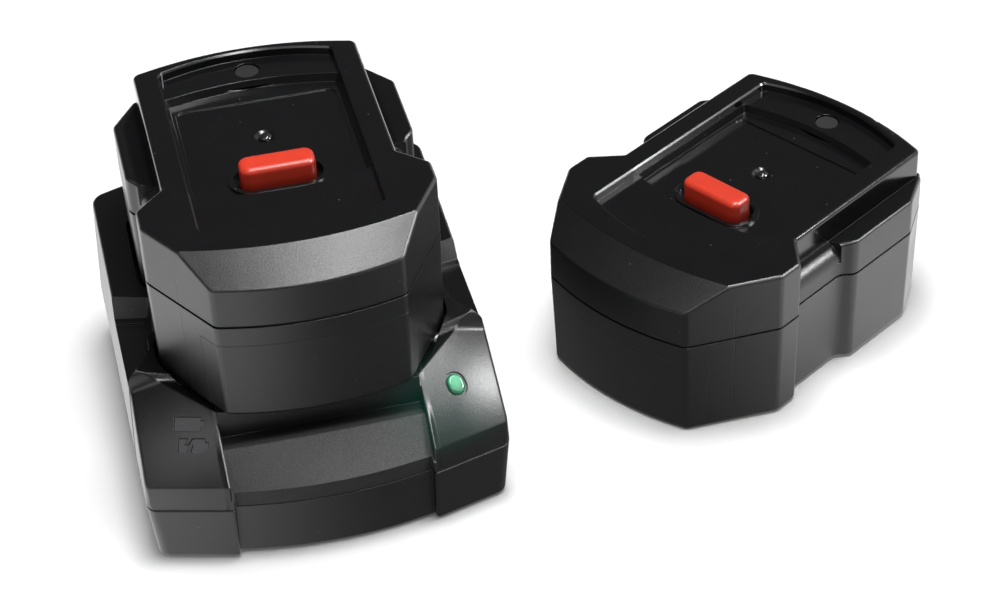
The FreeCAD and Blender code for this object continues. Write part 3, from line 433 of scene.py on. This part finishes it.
def painted_lens_glow(f, x, y, z):
    """Painted glow: the share of the lens's green light painted on the shell near it; it falls smoothly with
    the distance.
    """
    away = [(value - at) ** 2.0 for value, at in zip((x, y, z), PAINTED_GLOW_CENTRE)]
    far = (away[0] + away[1] + away[2]) ** 0.5
    return f.step(-far, -PAINTED_GLOW_REACH, -5.0) * f.step(z, 26.0, 34.0)


def button_finish(name, where, look):
    """Satin red moulding with fine grain and painted shade that darkens it a touch at its foot, low in its
    recess; light sinks in a little.
    """
    f = Finish(name, {
        "Specular IOR Level": 0.5,
        "Subsurface Weight": 0.12,
        "Subsurface Radius": (0.004, 0.001, 0.0006),
        "Subsurface Scale": 0.4,
    })
    point = f.place(where)
    height = f.split(point)[2]
    grain = f.noise(point, 2.6, 3.0)
    cloud = f.noise(point, 0.25, 2.0)
    tone = f.colour(cloud, rgba(look.button_red, 0.92), rgba(look.button_red, 1.08))
    # Painted shade: the red darkens towards the button's foot, low in its recess.
    tone = f.colour(f.step(-height, -60.0, -57.0), tone, rgba(look.button_red, 0.75))
    rough = 0.34 + (grain - 0.5) * 0.2
    return f.feed(Base_Color=tone, Roughness=rough, Normal=f.bump(grain, 0.02 * MM, f.soft_edge(0.5 * MM)))


def lens_finish(look):
    """Lit green lens: bright in the middle, deeper green towards its rim."""
    f = Finish("light_lens_green", {
        "Emission Strength": look.lens_glow,
        "Coat Weight": 0.5,
        "Coat Roughness": 0.1,
        "Roughness": 0.3,
    })
    point = f.place("dock")
    x, y = f.split(point)[:2]
    away = ((x - LENS_CENTRE[0]) ** 2.0 + (y - LENS_CENTRE[1]) ** 2.0) ** 0.5
    cloud = f.noise(point, 0.7, 2.0)
    lit = f.number("MINIMUM", f.step(-away, -3.6, -0.6) * (0.75 + cloud * 0.4), 1.0)
    tone = f.colour(lit, rgba(look.lens_green, 0.45), rgba(look.lens_green, 1.25))
    return f.feed(Base_Color=tone, Emission_Color=tone, Normal=f.bump(cloud, 0.05 * MM))


def window_finish():
    """Smoked window: near black with a faint violet cast and a soft polish."""
    f = Finish("status_window_smoke", {"Coat Weight": 0.2, "Coat Roughness": 0.12})
    point = f.place("dock")
    cloud = f.noise(point, 0.5, 3.0)
    tone = f.colour(cloud, (0.004, 0.004, 0.007, 1.0), (0.009, 0.008, 0.013, 1.0))
    rough = 0.22 + cloud * 0.15
    return f.feed(Base_Color=tone, Roughness=rough, Normal=f.bump(cloud, 0.05 * MM))


def moulding_finish(name, tone, rough, where="dock", grain_scale=2.2, depth=0.02):
    """Plain moulded plastic or rubber: fine grain and slight clouding."""
    f = Finish(name, {})
    point = f.place(where)
    grain = f.noise(point, grain_scale, 3.0, 0.6)
    cloud = f.noise(point, 0.12, 2.0)
    colour = f.colour(cloud, rgba(tone, 0.8), rgba(tone, 1.2))
    roughness = rough + (grain - 0.5) * 0.25
    normal = f.bump(grain, depth * MM, f.soft_edge(0.2 * MM))
    return f.feed(Base_Color=colour, Roughness=roughness, Normal=normal)


def metal_finish(name, tone, rough, stretch=(1.0, 1.0, 30.0), where="dock"):
    """Drawn or turned metal: streaks of noise, squeezed most along one direction, and faint tarnish."""
    f = Finish(name, {"Metallic": 1.0})
    point = f.place(where)
    streak = f.noise(f.vector("MULTIPLY", point, stretch), 0.6, 4.0, 0.7)
    tarnish = f.noise(point, 0.15, 3.0)
    colour = f.colour(tarnish, rgba(tone, 0.72), rgba(tone, 1.1))
    roughness = rough + (streak - 0.5) * 0.3 + (tarnish - 0.5) * 0.15
    normal = f.bump(streak, 0.01 * MM, f.soft_edge(0.15 * MM))
    return f.feed(Base_Color=colour, Roughness=roughness, Normal=normal)


def board_finish(name, where="dock"):
    """Circuit board: solder mask with a raster of copper tracks under it and bright tinned pads."""
    f = Finish(name, {"Coat Weight": 0.4, "Coat Roughness": 0.2})
    point = f.place(where)
    tracks = f.node("ShaderNodeTexBrick", {"offset": 0.35}, {
        "Vector": point, "Scale": 0.28, "Mortar Size": 0.03, "Mortar Smooth": 0.2,
        "Color1": BLACK, "Color2": BLACK, "Mortar": WHITE}, 1)
    pads = f.step(-f.cells(point, 0.3), -0.16, -0.13)
    mask = f.colour(tracks, (0.012, 0.085, 0.035, 1.0), (0.03, 0.16, 0.06, 1.0))
    tone = f.colour(pads, mask, (0.55, 0.53, 0.48, 1.0))
    rough = 0.35 - pads * 0.1 + f.noise(point, 0.8) * 0.1
    height = tracks * 0.5 + pads
    return f.feed(Base_Color=tone, Roughness=rough, Metallic=pads * 0.9, Normal=f.bump(height, 0.06 * MM))


def winding_finish():
    """Enamelled copper wire laid side by side round the limb."""
    f = Finish("winding_copper", {"Metallic": 1.0, "Coat Weight": 0.5, "Coat Roughness": 0.2})
    point = f.place("dock")
    turns = f.number("SINE", f.split(point)[2] * 9.0)
    cloud = f.noise(point, 0.3, 2.0)
    tone = f.colour(cloud, (0.42, 0.13, 0.05, 1.0), (0.62, 0.24, 0.09, 1.0))
    rough = 0.3 + (1.0 - turns) * 0.08
    return f.feed(Base_Color=tone, Roughness=rough, Normal=f.bump(turns, 0.12 * MM))


def lamination_finish():
    """Stack of thin varnished sheets seen from their edges."""
    f = Finish("core_laminations", {"Metallic": 0.85})
    point = f.place("dock")
    sheets = f.number("SINE", f.split(point)[1] * 12.0)
    cloud = f.noise(point, 0.4, 3.0)
    tone = f.colour(cloud, (0.10, 0.10, 0.11, 1.0), (0.22, 0.21, 0.20, 1.0))
    rough = 0.5 + (1.0 - sheets) * 0.08
    return f.feed(Base_Color=tone, Roughness=rough, Normal=f.bump(sheets, 0.05 * MM))


def sleeve_finish(name, where, low, high):
    """Shrink sleeve on a round can: slightly rippled film with one darker band near its top edge."""
    f = Finish(name, {"Coat Weight": 0.3, "Coat Roughness": 0.15})
    point = f.place(where)
    ripple = f.noise(f.vector("MULTIPLY", point, (1.0, 1.0, 0.3)), 0.5, 2.0)
    band = f.within(f.split(point)[2], low, high)
    tone = f.colour(band, (0.02, 0.11, 0.05, 1.0), (0.01, 0.03, 0.02, 1.0))
    tone = f.colour(ripple * 0.4, tone, (0.05, 0.2, 0.1, 1.0))
    rough = 0.28 + ripple * 0.15
    return f.feed(Base_Color=tone, Roughness=rough, Normal=f.bump(ripple, 0.1 * MM))


# Sizes and colours that a user may change


class ChargingSetLook(bpy.types.PropertyGroup):
    """Colours, grain and polish of the set"""

    shell_black: FloatVectorProperty(
        name="Shell black", description="Colour of the moulded shells",
        subtype="COLOR", size=3, min=0.0, max=1.0, default=(0.0050, 0.0050, 0.0056))
    grain_size: FloatProperty(
        name="Grain size", description="Width of one grain of the spark-eroded surface, in millimetres",
        default=0.5, min=0.1, max=3.0)
    satin_roughness: FloatProperty(
        name="Satin roughness", description="Roughness of the grained surfaces",
        default=0.36, min=0.0, max=1.0)
    gloss_roughness: FloatProperty(
        name="Polished roughness", description="Roughness of the polished surfaces",
        default=0.17, min=0.0, max=1.0)
    edge_radius: FloatProperty(
        name="Edge radius", description="Rounding that sharp shell edges catch light with",
        default=0.35 * MM, min=0.0, max=2 * MM, unit="LENGTH")
    button_red: FloatVectorProperty(
        name="Button red", description="Colour of the push buttons",
        subtype="COLOR", size=3, min=0.0, max=1.0, default=(0.62, 0.040, 0.016))
    lens_green: FloatVectorProperty(
        name="Light green", description="Colour of the lit charge light",
        subtype="COLOR", size=3, min=0.0, max=1.0, default=(0.05, 0.40, 0.19))
    lens_glow: FloatProperty(
        name="Light strength", description="How strongly the charge light glows",
        default=0.08, min=0.0, max=10.0)


class ChargingSetStage(bpy.types.PropertyGroup):
    """Floor, lights and camera"""

    floor_white: FloatVectorProperty(
        name="Floor colour", description="Colour of the table",
        subtype="COLOR", size=3, min=0.0, max=1.0, default=(0.93, 0.93, 0.93))
    floor_half: FloatProperty(
        name="Floor half size", description="Half the side of the floor",
        default=6.0, min=0.5, unit="LENGTH")
    room_light: FloatProperty(
        name="Room light", description="Even light that fills the room", default=0.42, min=0.0)
    key_power: FloatProperty(
        name="Key light power", description="Power of the soft light that the slopes mirror, in watts",
        default=14.5, min=0.0)
    side_power: FloatProperty(
        name="Side light power", description="Power of the light that the right facet mirrors, in watts",
        default=22.0, min=0.0)
    top_power: FloatProperty(
        name="Top light power", description="Power of the soft light that casts the shadows, in watts",
        default=16.0, min=0.0)
    camera_place: FloatVectorProperty(
        name="Camera place", description="Where the camera stands",
        size=3, unit="LENGTH", default=(-0.17370, -0.76348, 0.64290))
    lens_length: FloatProperty(
        name="Lens length", description="Focal length in millimetres on a 36 mm sensor",
        default=97.13, min=10.0)


# Operators, one for each group of pieces and one for the stage


class CHARGINGSET_OT_dock_shells(bpy.types.Operator):
    """Dock's upper and lower shell: joined copies of the moulded nodes with grained and polished areas"""

    bl_idname = "chargingset.dock_shells"
    bl_label = "Dock shells"

    def execute(self, context):
        look = context.scene.charging_look
        upper = welded("dock_cover", "dock_upper_shell", "charger")
        # The upper shell gets the lens's green light painted on it as a glow.
        arched = (dock_cover_gloss, nowhere, dock_cover_crown, painted_lens_glow)
        paint(upper, shell_finish("dock_upper_black", "dock", look, *arched))
        lower = welded("dock_base", "dock_lower_shell", "charger")
        paint(lower, shell_finish("dock_lower_black", "dock", look, nowhere, nowhere))
        return {"FINISHED"}


class CHARGINGSET_OT_pack_shells(bpy.types.Operator):
    """Both packs' upper and lower shells with their parting lines"""

    bl_idname = "chargingset.pack_shells"
    bl_label = "Pack shells"

    def execute(self, context):
        look = context.scene.charging_look
        for where in PACKS:
            body = where + "_pack"
            upper = welded(where + "_cover", where + "_upper_shell", body)
            pattern = (pack_cover_gloss, pack_cover_lines)
            paint(upper, shell_finish(where + "_upper_black", where, look, *pattern))
            lower = welded(where + "_case", where + "_lower_shell", body)
            pattern = (pack_case_gloss, pack_case_lines)
            paint(lower, shell_finish(where + "_lower_black", where, look, *pattern))
        return {"FINISHED"}


class CHARGINGSET_OT_push_buttons(bpy.types.Operator):
    """Red push buttons of both packs"""

    bl_idname = "chargingset.push_buttons"
    bl_label = "Push buttons"

    def execute(self, context):
        look = context.scene.charging_look
        for where in PACKS:
            body = where + "_button_body"
            cap = welded(where + "_button", where + "_push_button", body, 45.0)
            paint(cap, button_finish(where + "_button_red", where, look))
        return {"FINISHED"}


class CHARGINGSET_OT_charge_light(bpy.types.Operator):
    """Lit green lens and the smoked status windows on the dock's facets"""

    bl_idname = "chargingset.charge_light"
    bl_label = "Charge light"

    def execute(self, context):
        look = context.scene.charging_look
        lens = welded("light_lens", "charge_light_lens", "charger", 50.0)
        paint(lens, lens_finish(look))
        paint(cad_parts["status_windows"], window_finish())
        return {"FINISHED"}


PACK_MOULDINGS = (
    ("_seal", "_seal_rubber", (0.010, 0.010, 0.010), 0.75),
    ("_rear_plug", "_plug_black", (0.02, 0.02, 0.021), 0.45),
    ("_contact_socket", "_socket_black", (0.025, 0.025, 0.027), 0.5),
    ("_button_plate", "_plate_black", (0.03, 0.03, 0.032), 0.5),
    ("_cell_tray", "_cell_tray_grey", (0.35, 0.35, 0.33), 0.5),
    ("_cell_frame", "_cell_frame_grey", (0.35, 0.35, 0.33), 0.5),
)


class CHARGINGSET_OT_trim(bpy.types.Operator):
    """Seals, feet, vent domes, plugs, contact sockets and the power inlet"""

    bl_idname = "chargingset.trim"
    bl_label = "Trim and small mouldings"

    def execute(self, context):
        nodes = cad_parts
        for where in PACKS:
            dome = welded(where + "_vent_dome", where + "_vent_cap", where + "_pack", 60.0)
            polish = moulding_finish(where + "_vent_black", (0.015, 0.015, 0.016), 0.14, where, 1.0, 0.004)
            paint(dome, polish)
            for part, finish, tone, rough in PACK_MOULDINGS:
                paint(nodes[where + part], moulding_finish(where + finish, tone, rough, where))
        feet = welded("dock_feet", "dock_rubber_feet", "charger", 25.0)
        paint(feet, moulding_finish("foot_rubber_black", (0.02, 0.02, 0.02), 0.8, "dock", 1.6, 0.05))
        paint(nodes["contact_tower"], moulding_finish("tower_black", (0.03, 0.03, 0.032), 0.48))
        paint(nodes["power_inlet"], moulding_finish("inlet_black", (0.018, 0.018, 0.019), 0.42))
        return {"FINISHED"}


ZINC = (0.55, 0.55, 0.57)
TIN = (0.72, 0.68, 0.60)
TURNED = (1.0, 1.0, 30.0)
DOCK_METALS = (
    ("dock_screws", "dock_screw_zinc", ZINC, 0.32, TURNED),
    ("board_screws", "board_screw_zinc", ZINC, 0.32, TURNED),
    ("contact_blades", "blade_tin", TIN, 0.22, TURNED),
    ("inlet_pins", "inlet_pin_nickel", (0.72, 0.70, 0.66), 0.16, (1.0, 30.0, 1.0)),
    ("heatsink", "sink_aluminium", (0.50, 0.51, 0.53), 0.38, (1.0, 12.0, 1.0)),
)
PACK_METALS = (
    ("_screws", "_screw_zinc", ZINC, 0.32, TURNED),
    ("_contact_forks", "_fork_tin", TIN, 0.22, TURNED),
    ("_cell_links", "_link_nickel", (0.62, 0.60, 0.55), 0.3, (1.0, 8.0, 1.0)),
)


class CHARGINGSET_OT_metal_parts(bpy.types.Operator):
    """Screws, springs, blades, forks, links and pins"""

    bl_idname = "chargingset.metal_parts"
    bl_label = "Metal parts"

    def execute(self, context):
        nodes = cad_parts
        for node, finish, tone, rough, stretch in DOCK_METALS:
            paint(nodes[node], metal_finish(finish, tone, rough, stretch))
        for where in PACKS:
            self.make_springs(where)
            for part, finish, tone, rough, stretch in PACK_METALS:
                paint(nodes[where + part], metal_finish(where + finish, tone, rough, stretch, where))
        return {"FINISHED"}

    def make_springs(self, where):
        """The button's return springs, as a joined copy of their node with its own mesh and a wire finish."""
        body = where + "_pack"
        springs = welded(where + "_button_springs", where + "_return_springs", body)
        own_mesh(springs)
        paint(springs, metal_finish(where + "_spring_wire", (0.5, 0.5, 0.52), 0.25, where=where))


class CHARGINGSET_OT_electronics(bpy.types.Operator):
    """Boards, transformer, capacitors and cells inside the shells"""

    bl_idname = "chargingset.electronics"
    bl_label = "Electronics and cells"

    def execute(self, context):
        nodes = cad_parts
        for name in ("power_board", "contact_carrier", "light_boards"):
            paint(nodes[name], board_finish(name + "_mask"))
        paint(nodes["transformer_core"], lamination_finish())
        paint(nodes["transformer_winding"], winding_finish())
        paint(nodes["capacitors"], sleeve_finish("capacitor_sleeve", "dock", *CAPACITOR_BAND))
        for where in PACKS:
            paint(nodes[where + "_circuit_board"], board_finish(where + "_board_mask", where))
            paint(nodes[where + "_cells"], sleeve_finish(where + "_cell_sleeve", where, *CELL_BAND))
        return {"FINISHED"}


# Soft lights: the place and the size of each, in metres, and the point that they all look at
KEY_BOX = ((0.17, -0.17, 1.05), (0.80, 0.20))
SIDE_BOX = ((0.86, -0.26, 0.80), (0.30, 0.30))
TOP_BOX = ((0.03, 0.02, 1.30), (0.50, 0.50))
LIT_POINT = Vector((-0.05, -0.05, 0.06))

# Directions in which polish mirrors a glow, and X in metres of the strip of floor whose painted reflection is
# dim, as painted shade
ZENITH_GLOW = (0.10, -0.45, 0.89)
FRONT_LEFT_GLOW = (-0.473, -0.473, 0.743)
DIM_STRIP = -0.01

# The camera: which way it looks, which way is right before it rolls, and the roll in degrees
CAMERA_LOOK = (0.1637, 0.7709, -0.6155)
CAMERA_RIGHT = (0.9782, -0.2077, 0.0)
CAMERA_ROLL = -2.72


class CHARGINGSET_OT_stage(bpy.types.Operator):
    """Pale floor, soft lights, world and the camera"""

    bl_idname = "chargingset.stage"
    bl_label = "Stage, lights and camera"

    def execute(self, context):
        stage = context.scene.charging_stage
        context.scene.view_settings.view_transform = "Standard"
        self.lay_floor(stage)
        self.light_world(context, stage)
        key = self.soft_light("key_softbox", *KEY_BOX, stage.key_power)
        key.visible_diffuse = False
        side = self.soft_light("side_softbox", *SIDE_BOX, stage.side_power)
        side.visible_diffuse = False
        top = self.soft_light("top_softbox", *TOP_BOX, stage.top_power)
        top.visible_glossy = False
        self.place_camera(context, stage)
        return {"FINISHED"}

    def lay_floor(self, stage):
        """Flat square of clouded paper white. To polish it shows a painted reflection glow instead of its lit
        colour: dim under the set, as painted shade, and bright beside it.
        """
        half = stage.floor_half
        corners = [(-half, -half, 0), (half, -half, 0), (half, half, 0), (-half, half, 0)]
        mesh = bpy.data.meshes.new("table_top")
        mesh.from_pydata(corners, [], [(0, 1, 2, 3)])
        floor = bpy.data.objects.new("table_top", mesh)
        bpy.context.scene.collection.objects.link(floor)
        f = Finish("table_white", {"Roughness": 0.6})
        cloud = f.noise(f.place("dock"), 0.01, 2.0)
        low = rgba(stage.floor_white, 0.985)
        paint(floor, f.feed(Base_Color=f.colour(cloud, low, rgba(stage.floor_white, 1.0))))
        # Painted reflection: glossy rays see the floor glow, dim in a strip under the set as painted shade
        # and bright beside it.
        beside = f.step(abs(f.split(f.object_point())[0] - DIM_STRIP), 0.05, 0.17)
        sheen = f.node("ShaderNodeEmission", {}, {0: WHITE, 1: 0.25 + beside * 1.6})
        whole = f.blend(f.light_path("Is Glossy Ray"), Value(f, f.surface.outputs[0]), sheen)
        f.tree.links.new(whole.socket, f.tree.nodes["Material Output"].inputs[0])

    def light_world(self, context, stage):
        """Studio round the set: white to the eye, even to matt surfaces, shaded by direction to polish.

        What polish mirrors is dark behind, glows near the zenith and on the right, most at the front left.
        """
        world = bpy.data.worlds.new("studio")
        context.scene.world = world
        world.use_nodes = True
        room = Finish.of_tree(world.node_tree)
        way = room.node("ShaderNodeTexCoord", {}, {}, 0)
        x, _, z = room.split(way)
        glow = room.step(room.vector_number("DOT_PRODUCT", way, ZENITH_GLOW), 0.72, 0.99)
        right = room.step(x, 0.3, 0.9) * room.step(-z, -0.9, -0.6)
        front_left = room.step(room.vector_number("DOT_PRODUCT", way, FRONT_LEFT_GLOW), 0.90, 0.985)
        light = 0.08 + glow * 0.3 + right * 0.8 + front_left * 1.7
        seen = room.background(WHITE, 1.0)
        even = room.background(WHITE, stage.room_light)
        mirrored = room.background(WHITE, light)
        around = room.blend(room.light_path("Is Glossy Ray"), even, mirrored)
        whole = room.blend(room.light_path("Is Camera Ray"), around, seen)
        out = room.tree.nodes.new("ShaderNodeOutputWorld")
        room.tree.links.new(whole.socket, out.inputs[0])

    def soft_light(self, name, place, size, power):
        """Rectangular area light that looks at the lit point."""
        data = bpy.data.lights.new(name, "AREA")
        data.shape = "RECTANGLE"
        data.size, data.size_y = size
        data.energy = power
        lamp = bpy.data.objects.new(name, data)
        lamp.location = place
        lamp.rotation_euler = (LIT_POINT - Vector(place)).to_track_quat("-Z", "Y").to_euler()
        bpy.context.scene.collection.objects.link(lamp)
        return lamp

    def place_camera(self, context, stage):
        """Looks along the measured direction, rolled a little to the left."""
        look = Vector(CAMERA_LOOK).normalized()
        right = Vector(CAMERA_RIGHT).normalized()
        up = right.cross(look)
        roll = math.radians(CAMERA_ROLL)
        right_rolled = math.cos(roll) * right + math.sin(roll) * up
        up_rolled = math.cos(roll) * up - math.sin(roll) * right
        data = bpy.data.cameras.new("photo_camera")
        data.lens = stage.lens_length
        data.sensor_width = 36.0
        data.clip_start = 0.01
        data.clip_end = 50.0
        camera = bpy.data.objects.new("photo_camera", data)
        turn = Matrix((right_rolled, up_rolled, -look)).transposed()
        camera.matrix_world = Matrix.Translation(Vector(stage.camera_place)) @ turn.to_4x4()
        context.scene.collection.objects.link(camera)
        context.scene.camera = camera


OPERATORS = (
    CHARGINGSET_OT_dock_shells,
    CHARGINGSET_OT_pack_shells,
    CHARGINGSET_OT_push_buttons,
    CHARGINGSET_OT_charge_light,
    CHARGINGSET_OT_trim,
    CHARGINGSET_OT_metal_parts,
    CHARGINGSET_OT_electronics,
    CHARGINGSET_OT_stage,
)


class CHARGINGSET_PT_panel(bpy.types.Panel):
    """Lists the look, the stage and one button for each group of pieces"""

    bl_idname = "CHARGINGSET_PT_panel"
    bl_label = "Charging set"
    bl_space_type = "VIEW_3D"
    bl_region_type = "UI"
    bl_category = "Charging set"

    def draw(self, context):
        layout = self.layout
        for group in (context.scene.charging_look, context.scene.charging_stage):
            box = layout.box()
            for name in group.__annotations__:
                box.prop(group, name)
        for operator in OPERATORS:
            layout.operator(operator.bl_idname)


CLASSES = (ChargingSetLook, ChargingSetStage, *OPERATORS, CHARGINGSET_PT_panel)


def register():
    """Registers the classes and hangs the two property groups on the scene."""
    for cls in CLASSES:
        bpy.utils.register_class(cls)
    bpy.types.Scene.charging_look = PointerProperty(type=ChargingSetLook)
    bpy.types.Scene.charging_stage = PointerProperty(type=ChargingSetStage)


def unregister():
    """Takes the property groups and classes away again."""
    del bpy.types.Scene.charging_stage
    del bpy.types.Scene.charging_look
    for cls in reversed(CLASSES):
        bpy.utils.unregister_class(cls)


def main():
    """Makes every piece in order."""
    register()
    for operator in OPERATORS:
        getattr(bpy.ops.chargingset, operator.bl_idname.split(".")[1])()


if __name__ == "__main__":
    main()
